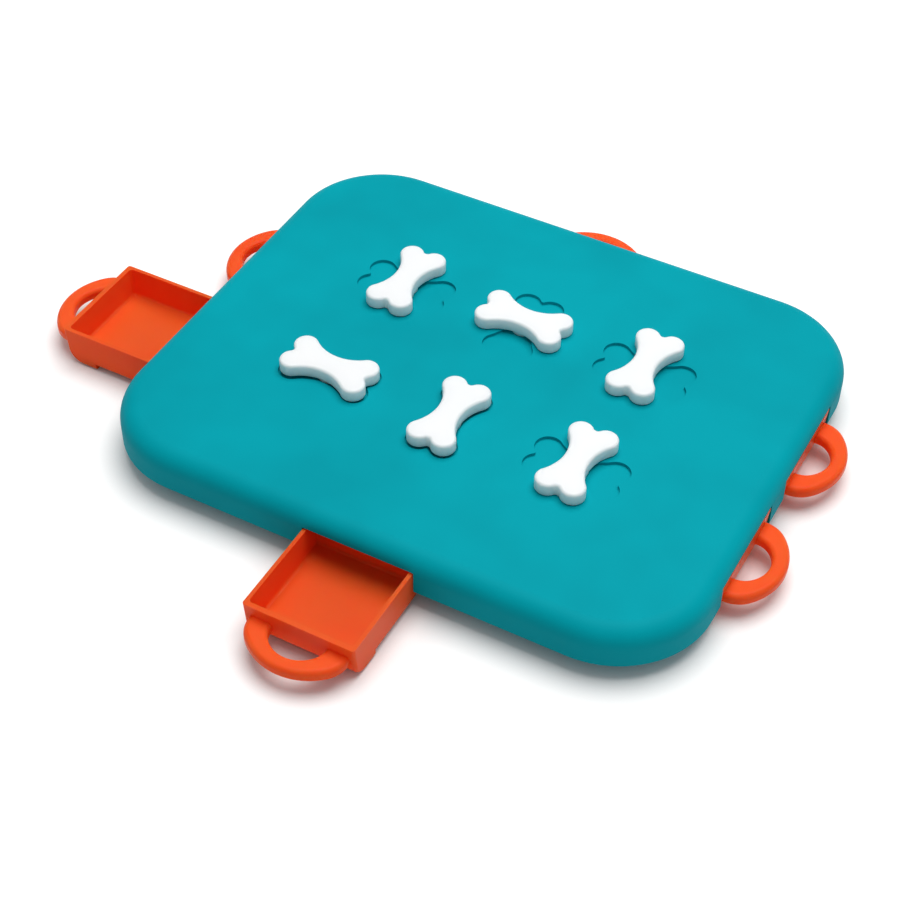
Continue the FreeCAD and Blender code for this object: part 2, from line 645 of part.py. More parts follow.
def make_drawer(bay):
    """One moulding: tray with a leaning front, loop handle, and a tail with rails and stop lugs."""
    name, turn, mouth_x, mouth_y, opened = bay
    body = new_body(f"drawer_{name}")
    loop = new_sketch(body, "loop", f"{RIM} - handle_drop - handle_rise")
    loop_outline(loop, "handle", "panel_lean + drawer_wall")
    loop_outline(loop, "hole", "panel_lean + drawer_wall / 2")
    pad(body, "loop", loop, "handle_rise")
    top = number(f"{RIM} - handle_drop")
    low = number(f"{RIM} - handle_drop - handle_rise")
    root = number("panel_lean + drawer_wall / 2") - 0.001

    def free_edge(edge, height):
        return at_height(edge, height) and edge.BoundBox.YMin < root

    fillet(body, "loop_top", "handle_round", lambda edge: free_edge(edge, top))
    fillet(body, "loop_low", "handle_ease", lambda edge: free_edge(edge, low))
    drawer_tray(body)
    drawer_tail(body)
    shift = {0: ("0", "-1"), 180: ("0", "1"), -90: ("-1", "0"), 90: ("1", "0")}[turn]
    set_place(body, f"{mouth_x} + {shift[0]} * {opened}", f"{mouth_y} + {shift[1]} * {opened}", str(turn))
    return body


def side_profile(sketch):
    """Side view of a tray: a leaning front that rounds into a deeper foot, a raised belly, a leaning rear."""
    foot_z = f"({PANEL_BOTTOM} + panel_round)"
    size = number("panel_round")
    centre = Vector(number(FOOT_Y), number(foot_z), 0)
    lean = math.atan2(number("panel_lean"), number(PANEL_RISE))
    front_end = centre - Vector(math.cos(lean), math.sin(lean), 0) * size
    corners = [("panel_depth", PANEL_BOTTOM), ("panel_depth", TRAY_BOTTOM),
               ("drawer_depth - rear_lean", TRAY_BOTTOM), ("drawer_depth", RIM), ("0", RIM)]
    points = [Vector(number(y), number(z), 0) for y, z in corners]
    foot = arc(sketch, centre.x, centre.y, size, math.pi + lean, 3 * math.pi / 2)
    route = [centre - Vector(0, size, 0)] + points + [front_end]
    sides = [sketch.addGeometry(Part.LineSegment(start, end), False) for start, end in zip(route, route[1:])]
    tangent(sketch, sides[-1], 2, foot, 1)
    tangent(sketch, foot, 2, sides[0], 1)
    for first, second in zip(sides, sides[1:]):
        sketch.addConstraint(Sketcher.Constraint("Coincident", first, 2, second, 1))
    radius(sketch, foot, "panel_round")
    place(sketch, "DistanceX", foot, 3, FOOT_Y)
    place(sketch, "DistanceY", foot, 3, foot_z)
    for item, (y, z) in zip(sides[1:], corners):
        place(sketch, "DistanceX", item, 1, y)
        place(sketch, "DistanceY", item, 1, z)


def drawer_tray(body):
    """The tray itself: its side view padded across, rounded along its sides, hollowed from rim and foot."""
    profile = new_sketch(body, "side", "-drawer_width / 2", role="YZ_Plane")
    side_profile(profile)
    pad(body, "tray", profile, "drawer_width")
    belly = number(TRAY_BOTTOM)
    foot = number(PANEL_BOTTOM)
    half = number("drawer_width / 2")
    depth = number("drawer_depth")

    def long_edge(edge):
        box = edge.BoundBox
        below = at_height(edge, belly) or at_height(edge, foot)
        return below and box.XLength < 0.001 and abs(abs(box.XMin) - half) < 0.001

    fillet(body, "sides", "side_round", long_edge)
    hollow = new_sketch(body, "hollow", RIM)
    inside = "drawer_width / 2 - drawer_wall"
    rear = "drawer_depth - drawer_wall"
    rounded_rectangle(hollow, f"-({inside})", inside, "front_wall", rear, "inner_corner")
    cut = pocket(body, "hollow", hollow, "drawer_rise - drawer_floor")
    bind(cut, "TaperAngle", "-inner_draft")
    doc.recompute()
    floor = number(f"{TRAY_BOTTOM} + drawer_floor")

    def inner_floor(edge):
        return at_height(edge, floor) and edge.BoundBox.YMax < depth

    fillet(body, "floor", "inner_round", inner_floor)
    groove = new_sketch(body, "groove", PANEL_BOTTOM)
    side = "(drawer_width / 2 - panel_wall)"
    rectangle(groove, f"-{side}", side, FOOT_Y, "panel_depth - panel_wall")
    pocket(body, "groove", groove, "panel_drop", up=True)


def drawer_tail(body):
    """The tail under the knob: a plate with two rails, two end webs and a stop lug at each side."""
    plate = new_sketch(body, "tail", TRAY_BOTTOM)
    rectangle(plate, "-tail_width / 2", "tail_width / 2", "drawer_depth - drawer_wall", TAIL_END)
    pad(body, "tail", plate, "drawer_floor")
    rooted = f"({TRAY_BOTTOM} + drawer_floor / 2)"
    rails = new_sketch(body, "rails", rooted)
    rail_start = "drawer_depth - drawer_wall / 2"
    rail_end = f"{TAIL_END} - rail_wall / 2"
    rectangle(rails, "rail_gap / 2", "rail_gap / 2 + rail_wall", rail_start, rail_end)
    rectangle(rails, "-rail_gap / 2 - rail_wall", "-rail_gap / 2", rail_start, rail_end)
    pad(body, "rails", rails, f"{RAIL_TOP} - {rooted}")
    web_start = f"{TAIL_END} - rail_wall"
    webs = new_sketch(body, "webs", rooted)
    rectangle(webs, "rail_gap / 2", "tail_width / 2", web_start, TAIL_END)
    rectangle(webs, "-tail_width / 2", "-rail_gap / 2", web_start, TAIL_END)
    pad(body, "webs", webs, f"{RAIL_TOP} - {rooted}")
    lugs = new_sketch(body, "lugs", rooted)
    rectangle(lugs, "tail_width / 2 - lug_width", "tail_width / 2", web_start, TAIL_END)
    rectangle(lugs, "-tail_width / 2", "lug_width - tail_width / 2", web_start, TAIL_END)
    pad(body, "lugs", lugs, f"{LUG_TOP} - {rooted}")


# Knobs, cams and screws

def make_knob(bay):
    """A bone-shaped knob with a shoulder, a round stem and a square key for its cam."""
    name = bay[0]
    body = new_body(f"bone_knob_{name}")
    outline = new_sketch(body, "bone", BONE_BOTTOM)
    bone_outline(outline, "0")
    pad(body, "bone", outline, "bone_rise")
    top = number(f"{BONE_BOTTOM} + bone_rise")
    low = number(BONE_BOTTOM)
    fillet(body, "top", "bone_round", lambda edge: at_height(edge, top))
    fillet(body, "low", "bone_ease", lambda edge: at_height(edge, low))
    hub = new_sketch(body, "hub", f"{RECESS_FLOOR} + hub_gap")
    circle(hub, "0", "0", "hub_radius")
    pad(body, "hub", hub, f"{BONE_BOTTOM} + bone_rise / 2 - {RECESS_FLOOR} - hub_gap")
    stem = new_sketch(body, "stem", CAM_TOP)
    circle(stem, "0", "0", "stem_radius")
    pad(body, "stem", stem, f"{BONE_BOTTOM} + bone_rise / 2 - {CAM_TOP}")
    key = new_sketch(body, "key", f"{CAM_BOTTOM} + key_gap")
    rectangle(key, "-key_side / 2", "key_side / 2", "-key_side / 2", "key_side / 2")
    pad(body, "key", key, "cam_rise - key_gap + root_depth")
    pilot = new_sketch(body, "pilot", f"{CAM_BOTTOM} + key_gap")
    circle(pilot, "0", "0", "screw_shank + screw_gap / 2")
    pocket(body, "pilot", pilot, "cam_screw_length", up=True)
    x, y = pivot(bay)
    set_place(body, x, y, KNOB_TURNS[name])
    return body


def make_cam(bay):
    """A two-winged cam with a square hole, keyed to the stem, whose wings lie over the rails when turned."""
    name = bay[0]
    body = new_body(f"lock_cam_{name}")
    wings = new_sketch(body, "wings", CAM_BOTTOM)
    slot(wings, "cam_length", "cam_width")
    pad(body, "wings", wings, "cam_wing")
    hub = new_sketch(body, "hub", CAM_BOTTOM)
    circle(hub, "0", "0", "cam_hub")
    pad(body, "hub", hub, "cam_rise")
    hole = new_sketch(body, "hole", CAM_BOTTOM)
    hole_half = "(key_side / 2 + key_gap)"
    rectangle(hole, f"-{hole_half}", hole_half, f"-{hole_half}", hole_half)
    pocket(body, "hole", hole, "cam_rise + root_depth", up=True)
    x, y = pivot(bay)
    set_place(body, x, y, KNOB_TURNS[name])
    return body


def screw_shape(shank_length):
    """A pan-head screw standing on its head, with its seat at z = 0 and a cross recess from below."""
    head = number("screw_head")
    rise = number("screw_head_rise")
    shank = number("screw_shank")
    flat = number("screw_flat")
    bulge = number("screw_bulge")
    rim = Vector(head, 0, -rise / 2)
    crown = Vector(flat, 0, -rise)
    outward = Vector(1, 0, -1).normalize() * bulge
    foot = Vector(0, 0, -rise)
    point = Vector(0, 0, shank_length)
    shoulder = Vector(shank, 0, shank_length - shank)
    profile = Part.Wire([
        Part.makeLine(foot, point),
        Part.makeLine(point, shoulder),
        Part.makeLine(shoulder, Vector(shank, 0, 0)),
        Part.makeLine(Vector(shank, 0, 0), Vector(head, 0, 0)),
        Part.makeLine(Vector(head, 0, 0), rim),
        Part.Arc(rim, (rim + crown) / 2 + outward, crown).toShape(),
        Part.makeLine(crown, foot),
    ])
    solid = Part.Face(profile).revolve(Vector(0, 0, 0), Vector(0, 0, 1), 360)
    long = number("drive_length")
    short = number("drive_width")
    deep = number("drive_depth")
    for x_size, y_size in ((long, short), (short, long)):
        corner = Vector(-x_size / 2, -y_size / 2, -rise - deep)
        solid = solid.cut(Part.makeBox(x_size, y_size, 2 * deep, corner))
    return solid


def make_cam_screw(bay):
    """The screw that holds a cam on its stem."""
    item = doc.addObject("Part::Feature", f"cam_screw_{bay[0]}")
    item.Label = item.Name
    item.Shape = screw_shape(number("cam_screw_length"))
    x, y = pivot(bay)
    item.Placement = FreeCAD.Placement(Vector(number(x), number(y), number(CAM_BOTTOM)), Rotation())
    return item


def make_case_screws():
    """The screws that hold the base plate to the cover, one group of separate solids."""
    item = doc.addObject("Part::Feature", "case_screws")
    item.Label = item.Name
    screws = []
    for x, y in POSTS:
        screw = screw_shape(number("case_screw_length"))
        screw.translate(Vector(number(x), number(y), number(HEAD_SEAT)))
        screws.append(screw)
    item.Shape = Part.makeCompound(screws)
    return item


def make_foot(name):
    """A rubber foot, a disc with a bevelled tread, glued into its recess."""
    body = new_body(name)
    outline = new_sketch(body, "disc", "-foot_drop")
    circle(outline, "0", "0", "foot_radius - key_gap")
    pad(body, "disc", outline, "foot_drop + foot_seat")
    tread = number("-foot_drop")
    chamfer(body, "tread", "foot_drop / 2", lambda edge: at_height(edge, tread))
    x, y = FEET[name]
    set_place(body, x, y)
    return body


def check_document():
    """Stops on any feature that failed and on any sub-part without a valid shape."""
    doc.recompute()
    for item in doc.Objects:
        if "Invalid" in item.State or "Error" in item.State:
            raise RuntimeError(f"{item.Label} failed: {item.State}")


def write_parts(parts):
    os.makedirs("parts", exist_ok=True)
    for item in parts:
        shape = item.Shape
        if shape.isNull() or not shape.isValid():
            raise RuntimeError(f"{item.Label} has no valid shape")
        print(f"{item.Label}: {len(shape.Solids)} solid, {len(shape.Faces)} faces, {shape.Volume:.0f} mm3")
    for item in parts:
        item.Shape.exportStep(f"parts/{item.Label}.step")


fill_sheet()
parts = [make_cover(), make_base()]
parts += [make_drawer(bay) for bay in BAYS]
parts += [make_knob(bay) for bay in BAYS]
parts += [make_cam(bay) for bay in BAYS]
parts += [make_cam_screw(bay) for bay in BAYS]
parts.append(make_case_screws())
parts += [make_foot(name) for name in FEET]
check_document()
write_parts(parts)
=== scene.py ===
import math

import bpy
from mathutils import Matrix, Vector


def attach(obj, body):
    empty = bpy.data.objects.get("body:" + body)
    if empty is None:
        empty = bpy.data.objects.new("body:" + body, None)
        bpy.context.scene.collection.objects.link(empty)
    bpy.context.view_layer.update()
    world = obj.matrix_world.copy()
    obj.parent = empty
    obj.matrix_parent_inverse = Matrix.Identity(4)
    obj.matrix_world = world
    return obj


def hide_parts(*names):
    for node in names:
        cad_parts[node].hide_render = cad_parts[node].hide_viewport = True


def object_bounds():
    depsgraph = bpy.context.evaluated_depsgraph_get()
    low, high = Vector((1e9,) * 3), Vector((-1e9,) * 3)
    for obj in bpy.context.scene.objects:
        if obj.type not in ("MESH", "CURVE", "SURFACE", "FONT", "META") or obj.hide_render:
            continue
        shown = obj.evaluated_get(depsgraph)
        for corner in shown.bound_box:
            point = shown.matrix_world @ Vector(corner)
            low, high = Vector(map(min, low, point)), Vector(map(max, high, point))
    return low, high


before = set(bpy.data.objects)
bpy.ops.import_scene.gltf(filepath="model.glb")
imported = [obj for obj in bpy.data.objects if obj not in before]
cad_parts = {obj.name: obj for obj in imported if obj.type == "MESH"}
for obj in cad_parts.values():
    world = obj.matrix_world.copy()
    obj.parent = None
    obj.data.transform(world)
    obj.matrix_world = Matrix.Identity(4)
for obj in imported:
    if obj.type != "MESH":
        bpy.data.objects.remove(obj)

cad_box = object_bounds()


# Top cover
# The shell that makes the board: turquoise ABS, injection moulded in one piece. The tool is spark
# eroded, so the skin is an even fine grain that keeps the whole top matt, with no sharp highlight.

MM = 0.001
COVER_COLOUR = "#00A2AF"
COVER_SHADE = "#0099A6"
# The real grain of every skin below is under 0.1 mm, so each is drawn as coarse as it needs to show.
COVER_GRAIN = 0.9 * MM
COVER_RELIEF = 0.05 * MM
GRAIN_STRENGTH = 0.35
# Melt that cools unevenly leaves faint clouds of two close tones, a few centimetres across.
CLOUD_SIZE = 60 * MM
CLOUD_FROM = 0.35
CLOUD_TO = 0.65


def linear(code):
    """An sRGB hex colour as the linear RGBA that a shader socket takes."""
    values = [int(code[k:k + 2], 16) / 255 for k in (1, 3, 5)]
    return tuple(v / 12.92 if v <= 0.04045 else ((v + 0.055) / 1.055) ** 2.4 for v in values) + (1.0,)


def add_node(tree, kind, settings=None, links=None):
    """Adds a shader node. Settings are properties or input values, links are input: output pairs."""
    node = tree.nodes.new(kind)
    for name, value in (settings or {}).items():
        if isinstance(name, int) or name in node.inputs:
            node.inputs[name].default_value = value
        else:
            setattr(node, name, value)
    for name, output in (links or {}).items():
        tree.links.new(output, node.inputs[name])
    return node


def new_material(name, links, settings):
    """A material with a single principled shader, given its links and its plain settings."""
    material = bpy.data.materials.new(name)
    material.use_nodes = True
    tree = material.node_tree
    tree.nodes.clear()
    shader = add_node(tree, "ShaderNodeBsdfPrincipled", settings, links(tree))
    add_node(tree, "ShaderNodeOutputMaterial", links={"Surface": shader.outputs["BSDF"]})
    return material


def moulded(colour, shade, grain, relief):
    """Links for a moulded skin: a slow change of tone and the fine grain left by the tool."""
    def links(tree):
        place = add_node(tree, "ShaderNodeTexCoord").outputs["Object"]
        cloud = add_node(tree, "ShaderNodeTexNoise", {"Scale": 1 / CLOUD_SIZE, "Detail": 2.0},
                         {"Vector": place})
        tone = add_node(tree, "ShaderNodeValToRGB", links={"Fac": cloud.outputs["Fac"]})
        tone.color_ramp.elements[0].color = linear(shade)
        tone.color_ramp.elements[1].color = linear(colour)
        tone.color_ramp.elements[0].position = CLOUD_FROM
        tone.color_ramp.elements[1].position = CLOUD_TO
        skin = add_node(tree, "ShaderNodeTexNoise",
                        {"Scale": 1 / grain, "Detail": 3.0, "Roughness": 0.6}, {"Vector": place})
        bump = add_node(tree, "ShaderNodeBump", {"Strength": GRAIN_STRENGTH, "Distance": relief},
                        {"Height": skin.outputs["Fac"]})
        return {"Base Color": tone.outputs["Color"], "Normal": bump.outputs["Normal"]}
    return links


def dress(names, material):
    """Gives CAD nodes a better material in their own slots."""
    for name in names:
        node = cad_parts[name]
        node.data.materials.clear()
        node.data.materials.append(material)


cover_skin = moulded(COVER_COLOUR, COVER_SHADE, COVER_GRAIN, COVER_RELIEF)
cover_plastic = new_material("Spark-eroded turquoise ABS", cover_skin,
                             {"Roughness": 0.55, "IOR": 1.54, "Specular IOR Level": 0.03})
dress(["top_cover"], cover_plastic)


# Base plate
# The dish that closes the board from below and carries the drawers, screwed up against the cover's
# posts. It is the same ABS in a deeper tone, and its plainer tool leaves a slightly coarser, dull skin.

BASE_COLOUR = "#04929E"
BASE_SHADE = "#048894"
BASE_GRAIN = 1.4 * MM
BASE_RELIEF = 0.04 * MM

base_skin = moulded(BASE_COLOUR, BASE_SHADE, BASE_GRAIN, BASE_RELIEF)
base_plastic = new_material("Moulded turquoise ABS", base_skin,
                            {"Roughness": 0.55, "IOR": 1.54, "Specular IOR Level": 0.03})
dress(["base_plate"], base_plastic)


# Drawers
# Six orange polypropylene mouldings, each a tray with its loop handle and its tail under the knob. The
# tool is smooth, and the plastic is waxy: soft highlights, and some light glows through the thin walls.

DRAWER_COLOUR = "#F65E27"
DRAWER_SHADE = "#F25523"
DRAWER_GRAIN = 4.0 * MM
DRAWER_RELIEF = 0.03 * MM
BAYS = ["front", "back", "left_front", "left_back", "right_front", "right_back"]

drawer_skin = moulded(DRAWER_COLOUR, DRAWER_SHADE, DRAWER_GRAIN, DRAWER_RELIEF)
drawer_plastic = new_material("Polished orange polypropylene", drawer_skin,
                              {"Roughness": 0.3, "IOR": 1.49, "Specular IOR Level": 0.06,
                               "Subsurface Weight": 0.8, "Subsurface Scale": 7 * MM,
                               "Subsurface Radius": (1.0, 0.2, 0.06)})
dress([f"drawer_{bay}" for bay in BAYS], drawer_plastic)


# Bone knobs
# Six turning knobs, each one moulding with its stem, which runs in a boss of the cover. They are white
# ABS from a lightly blasted tool, so they look clean and soft, with only a faint sheen.

KNOB_COLOUR = "#F8F9F9"
KNOB_SHADE = "#F4F6F6"
KNOB_GRAIN = 0.7 * MM
KNOB_RELIEF = 0.03 * MM

knob_skin = moulded(KNOB_COLOUR, KNOB_SHADE, KNOB_GRAIN, KNOB_RELIEF)
knob_plastic = new_material("Blasted white ABS", knob_skin,
                            {"Roughness": 0.42, "IOR": 1.54, "Subsurface Weight": 0.8,
                             "Subsurface Scale": 6 * MM, "Subsurface Radius": (1.0, 1.0, 0.95)})
dress([f"bone_knob_{bay}" for bay in BAYS], knob_plastic)


# Lock cams
# A two-winged cam under the cover, keyed to each knob's stem and held by a screw. It is moulded in
# natural acetal, which is slick and a little creamy beside the white knobs.

CAM_COLOUR = "#E4E2DA"
CAM_GRAIN = 1.5 * MM
CAM_RELIEF = 0.02 * MM

cam_plastic = new_material("Natural acetal", moulded(CAM_COLOUR, CAM_COLOUR, CAM_GRAIN, CAM_RELIEF),
                           {"Roughness": 0.35, "IOR": 1.48})
dress([f"lock_cam_{bay}" for bay in BAYS], cam_plastic)


# Screws
# Pan-head self-tapping screws for plastic: a cold-formed head with a cross recess and a rolled thread
# of coarse pitch. Six hold the base plate up, and one holds each cam. Their bright zinc plating gives
# a cool, even shine.

STEEL_COLOUR = "#C9CCCF"
STEEL_SHADE = "#B9BDC2"
STEEL_GRAIN = 2.0 * MM
STEEL_RELIEF = 0.01 * MM
HEAD_RADIUS = 3.2 * MM
HEAD_RISE = 1.9 * MM
HEAD_FLAT = 1.7 * MM
HEAD_BULGE = 0.1 * MM
HEAD_SIDES = 48
DOME_STEPS = 5
DRIVE_LENGTH = 2.8 * MM
DRIVE_WIDTH = 0.65 * MM
DRIVE_DEPTH = 0.95 * MM
DRIVE_TAPER = 0.7
THREAD_CREST = 1.5 * MM
THREAD_CORE = 1.1 * MM
THREAD_PITCH = 1.3 * MM
THREAD_TOOTH = 0.36 * MM
THREAD_STEPS = 24
SHANK_SIDES = 32
SHANK_ROOT = 0.3 * MM
TIP_LENGTH = 1.7 * MM
# The tip in two steps: the share of its length that each adds, the share then left, and the scale.
TIP_STEPS = [(0.8, 0.2, 0.3), (0.15, 0.05, 0.4)]
SMOOTH_ANGLE = math.radians(32)
# Least share of a normal along Z by which a face counts as facing up or down.
FACING = 0.9
CASE_SCREW_LENGTH = 12.0 * MM
CAM_SCREW_LENGTH = 8.0 * MM
CASE_SCREW_SEAT = 3.8 * MM
CASE_SCREW_SPOTS = [(124, 96), (-124, 96), (-124, -96), (124, -96), (36, 0), (-36, 0)]
CAM_SCREW_SEAT = 18.0 * MM
CAM_SCREW_SPOTS = {
    "front": (0, -41),
    "back": (0, 41),
    "left_front": (-70.5, -40),
    "left_back": (-70.5, 40),
    "right_front": (70.5, -40),
    "right_back": (70.5, 40),
}


def edit(piece):
    """Goes into edit mode on one piece alone, with nothing in it selected."""
    bpy.ops.object.select_all(action="DESELECT")
    piece.select_set(True)
    bpy.context.view_layer.objects.active = piece
    bpy.ops.object.mode_set(mode="EDIT")
    bpy.ops.mesh.select_mode(type="FACE")
    bpy.ops.mesh.select_all(action="DESELECT")


def pick(piece, wanted):
    """In edit mode, selects just the faces whose middle and normal pass a test."""
    bpy.ops.mesh.select_all(action="DESELECT")
    bpy.ops.object.mode_set(mode="OBJECT")
    for face in piece.data.polygons:
        face.select = wanted(face.center, face.normal)
    bpy.ops.object.mode_set(mode="EDIT")


def settle(piece, material):
    """Leaves edit mode, puts the piece's place into its mesh and gives it its material."""
    if bpy.context.mode != "OBJECT":
        bpy.ops.object.mode_set(mode="OBJECT")
    bpy.ops.object.select_all(action="DESELECT")
    piece.select_set(True)
    bpy.context.view_layer.objects.active = piece
    bpy.ops.object.transform_apply(location=True, rotation=True, scale=True)
    piece.data.materials.clear()
    piece.data.materials.append(material)


def new_cylinder(name, sides, radius, low, high):
    """A cylinder about Z between two heights, with its place already in its mesh."""
    bpy.ops.object.select_all(action="DESELECT")
    bpy.ops.mesh.primitive_cylinder_add(vertices=sides, radius=radius, depth=high - low,
                                        location=(0, 0, (low + high) / 2))
    piece = bpy.context.object
    piece.name = name
    bpy.ops.object.transform_apply(location=True, rotation=True, scale=True)
    return piece


def merge(piece, other, operation):
    """Cuts or joins another solid with a boolean modifier, applies it and deletes the other solid."""
    modifier = piece.modifiers.new("merge", "BOOLEAN")
    modifier.operation = operation
    modifier.object = other
    modifier.solver = "EXACT"
    bpy.ops.object.select_all(action="DESELECT")
    piece.select_set(True)
    bpy.context.view_layer.objects.active = piece
    bpy.ops.object.modifier_apply(modifier="merge")
    bpy.data.objects.remove(other)


def grow(step, height, scale):
    """Extrudes the selected cap by a step along Z and scales it about the axis at its new height."""
    bpy.ops.mesh.extrude_region_move(TRANSFORM_OT_translate={"value": (0, 0, step)})
    bpy.ops.transform.resize(value=(scale, scale, 1), center_override=(0, 0, height))


def model_head(name):
    """The pan head: a short cylinder whose underside is drawn in along the dome, with a cross cut in."""
    rim = -HEAD_RISE / 2
    head = new_cylinder(name, HEAD_SIDES, HEAD_RADIUS, rim, 0)
    edit(head)
    pick(head, lambda centre, normal: normal.z < -FACING)
    radius, height = HEAD_RADIUS, rim
    for k in range(1, DOME_STEPS + 1):
        share = k / DOME_STEPS
        out = 4 * HEAD_BULGE * share * (1 - share)
        new_radius = HEAD_RADIUS + (HEAD_FLAT - HEAD_RADIUS) * share + out
        new_height = rim - HEAD_RISE / 2 * share - out
        grow(new_height - height, new_height, new_radius / radius)
        radius, height = new_radius, new_height
    bpy.ops.object.mode_set(mode="OBJECT")
    for x_size, y_size in ((DRIVE_LENGTH, DRIVE_WIDTH), (DRIVE_WIDTH, DRIVE_LENGTH)):
        bpy.ops.object.select_all(action="DESELECT")
        bpy.ops.mesh.primitive_cube_add(size=1, location=(0, 0, -HEAD_RISE),
                                        scale=(x_size, y_size, 2 * DRIVE_DEPTH))
        blade = bpy.context.object
        bpy.ops.object.transform_apply(location=True, rotation=True, scale=True)
        edit(blade)
        pick(blade, lambda centre, normal: normal.z > FACING)
        bpy.ops.transform.resize(value=(DRIVE_TAPER, DRIVE_TAPER, 1),
                                 center_override=(0, 0, -HEAD_RISE + DRIVE_DEPTH))
        bpy.ops.object.mode_set(mode="OBJECT")
        merge(head, blade, "DIFFERENCE")
    return head


def model_thread(length):
    """The rolled thread: a triangle swept up the shank by the screw modifier, with both ends closed."""
    turns = int((length - TIP_LENGTH - THREAD_PITCH) / THREAD_PITCH)
    bpy.ops.object.select_all(action="DESELECT")
    bpy.ops.mesh.primitive_circle_add(vertices=3, radius=THREAD_TOOTH, fill_type="NOTHING",
                                      location=(THREAD_CREST - THREAD_TOOTH, 0, THREAD_PITCH),
                                      rotation=(math.pi / 2, math.pi / 2, 0))
    thread = bpy.context.object
    bpy.ops.object.transform_apply(location=True, rotation=True, scale=True)
    sweep = thread.modifiers.new("sweep", "SCREW")
    sweep.axis = "Z"
    sweep.angle = 2 * math.pi
    sweep.screw_offset = THREAD_PITCH
    sweep.iterations = turns
    sweep.steps = THREAD_STEPS
    sweep.render_steps = THREAD_STEPS
    bpy.ops.object.modifier_apply(modifier="sweep")
    edit(thread)
    bpy.ops.mesh.select_mode(type="EDGE")
    bpy.ops.mesh.select_all(action="SELECT")
    bpy.ops.mesh.fill_holes(sides=3)
    bpy.ops.mesh.select_all(action="SELECT")
    bpy.ops.mesh.normals_make_consistent(inside=False)
    bpy.ops.object.mode_set(mode="OBJECT")
    return thread


def model_screw(name, length):
    """A whole screw standing on its head, with its seat at z = 0 and its tip up."""
    screw = model_head(name)
    shank = new_cylinder("shank", SHANK_SIDES, THREAD_CORE, -SHANK_ROOT, length - TIP_LENGTH)
    edit(shank)
    pick(shank, lambda centre, normal: normal.z > FACING)
    for added, left, scale in TIP_STEPS:
        grow(added * TIP_LENGTH, length - left * TIP_LENGTH, scale)
    bpy.ops.object.mode_set(mode="OBJECT")
    merge(screw, shank, "UNION")
    merge(screw, model_thread(length), "UNION")
    settle(screw, screw_steel)
    bpy.ops.object.shade_smooth_by_angle(angle=SMOOTH_ANGLE)
    return screw


def copy_to(source, name, spot):
    """A copy with a mesh of its own, set down at a spot in the board's frame."""
    bpy.ops.object.select_all(action="DESELECT")
    source.select_set(True)
    bpy.context.view_layer.objects.active = source
    bpy.ops.object.duplicate(linked=False)
    piece = bpy.context.object
    piece.name = name
    bpy.ops.transform.translate(value=spot)
    bpy.ops.object.transform_apply(location=True, rotation=True, scale=True)
    return piece


plating = moulded(STEEL_COLOUR, STEEL_SHADE, STEEL_GRAIN, STEEL_RELIEF)
screw_steel = new_material("Zinc-plated steel", plating, {"Roughness": 0.3, "Metallic": 1.0})
case_screw = model_screw("case_screw_pattern", CASE_SCREW_LENGTH)
case_screws = [copy_to(case_screw, f"case_screw_{k}", (x * MM, y * MM, CASE_SCREW_SEAT))
               for k, (x, y) in enumerate(CASE_SCREW_SPOTS, 1)]
bpy.data.objects.remove(case_screw)
bpy.ops.object.select_all(action="DESELECT")
for screw in case_screws:
    screw.select_set(True)
bpy.context.view_layer.objects.active = case_screws[0]
bpy.ops.object.join()
case_set = bpy.context.object
case_set.name = "threaded_case_screws"
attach(case_set, "board")
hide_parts("case_screws")

cam_screw = model_screw("cam_screw_pattern", CAM_SCREW_LENGTH)
for bay, (x, y) in CAM_SCREW_SPOTS.items():
    screw = copy_to(cam_screw, f"threaded_cam_screw_{bay}", (x * MM, y * MM, CAM_SCREW_SEAT))
    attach(screw, f"{bay}_knob")
    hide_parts(f"cam_screw_{bay}")
bpy.data.objects.remove(cam_screw)


# Feet
# Four discs of black rubber with a grooved tread, compression moulded and glued into their recesses
# under the base plate. The skin is dull, and the tool's cut leaves it slightly rough.

RUBBER_COLOUR = "#2A2A2B"
RUBBER_SHADE = "#222223"
RUBBER_GRAIN = 1.0 * MM
RUBBER_RELIEF = 0.06 * MM
FOOT_RADIUS = 8.9 * MM
FOOT_TOP = 0.8 * MM
FOOT_TREAD = -1.0 * MM
FOOT_SIDES = 72
FOOT_ROUND = 0.5 * MM
ROUND_STEPS = 3
TREAD_BAND = 0.1 * MM
GROOVES = [(6.9 * MM, 6.1 * MM), (4.5 * MM, 3.7 * MM)]
GROOVE_DEPTH = 0.45 * MM
FEET = {
    "foot_right_back": (92, 96),
    "foot_left_back": (-92, 96),
    "foot_left_front": (-92, -96),
    "foot_right_front": (92, -96),
}

rubber_skin = moulded(RUBBER_COLOUR, RUBBER_SHADE, RUBBER_GRAIN, RUBBER_RELIEF)
foot_rubber = new_material("Moulded black rubber", rubber_skin,
                           {"Roughness": 0.8, "IOR": 1.52, "Specular IOR Level": 0.3})
foot = new_cylinder("foot_pattern", FOOT_SIDES, FOOT_RADIUS, FOOT_TREAD + FOOT_ROUND, FOOT_TOP)
edit(foot)
pick(foot, lambda centre, normal: normal.z < -FACING)
radius, height = FOOT_RADIUS, FOOT_TREAD + FOOT_ROUND
for k in range(1, ROUND_STEPS + 1):
    turn = math.radians(90 / ROUND_STEPS * k)
    new_radius = FOOT_RADIUS - FOOT_ROUND * (1 - math.cos(turn))
    new_height = FOOT_TREAD + FOOT_ROUND * (1 - math.sin(turn))
    grow(new_height - height, new_height, new_radius / radius)
    radius, height = new_radius, new_height
for outer, inner in GROOVES:
    for edge in (outer, inner):
        bpy.ops.mesh.inset(thickness=radius - edge)
        radius = edge
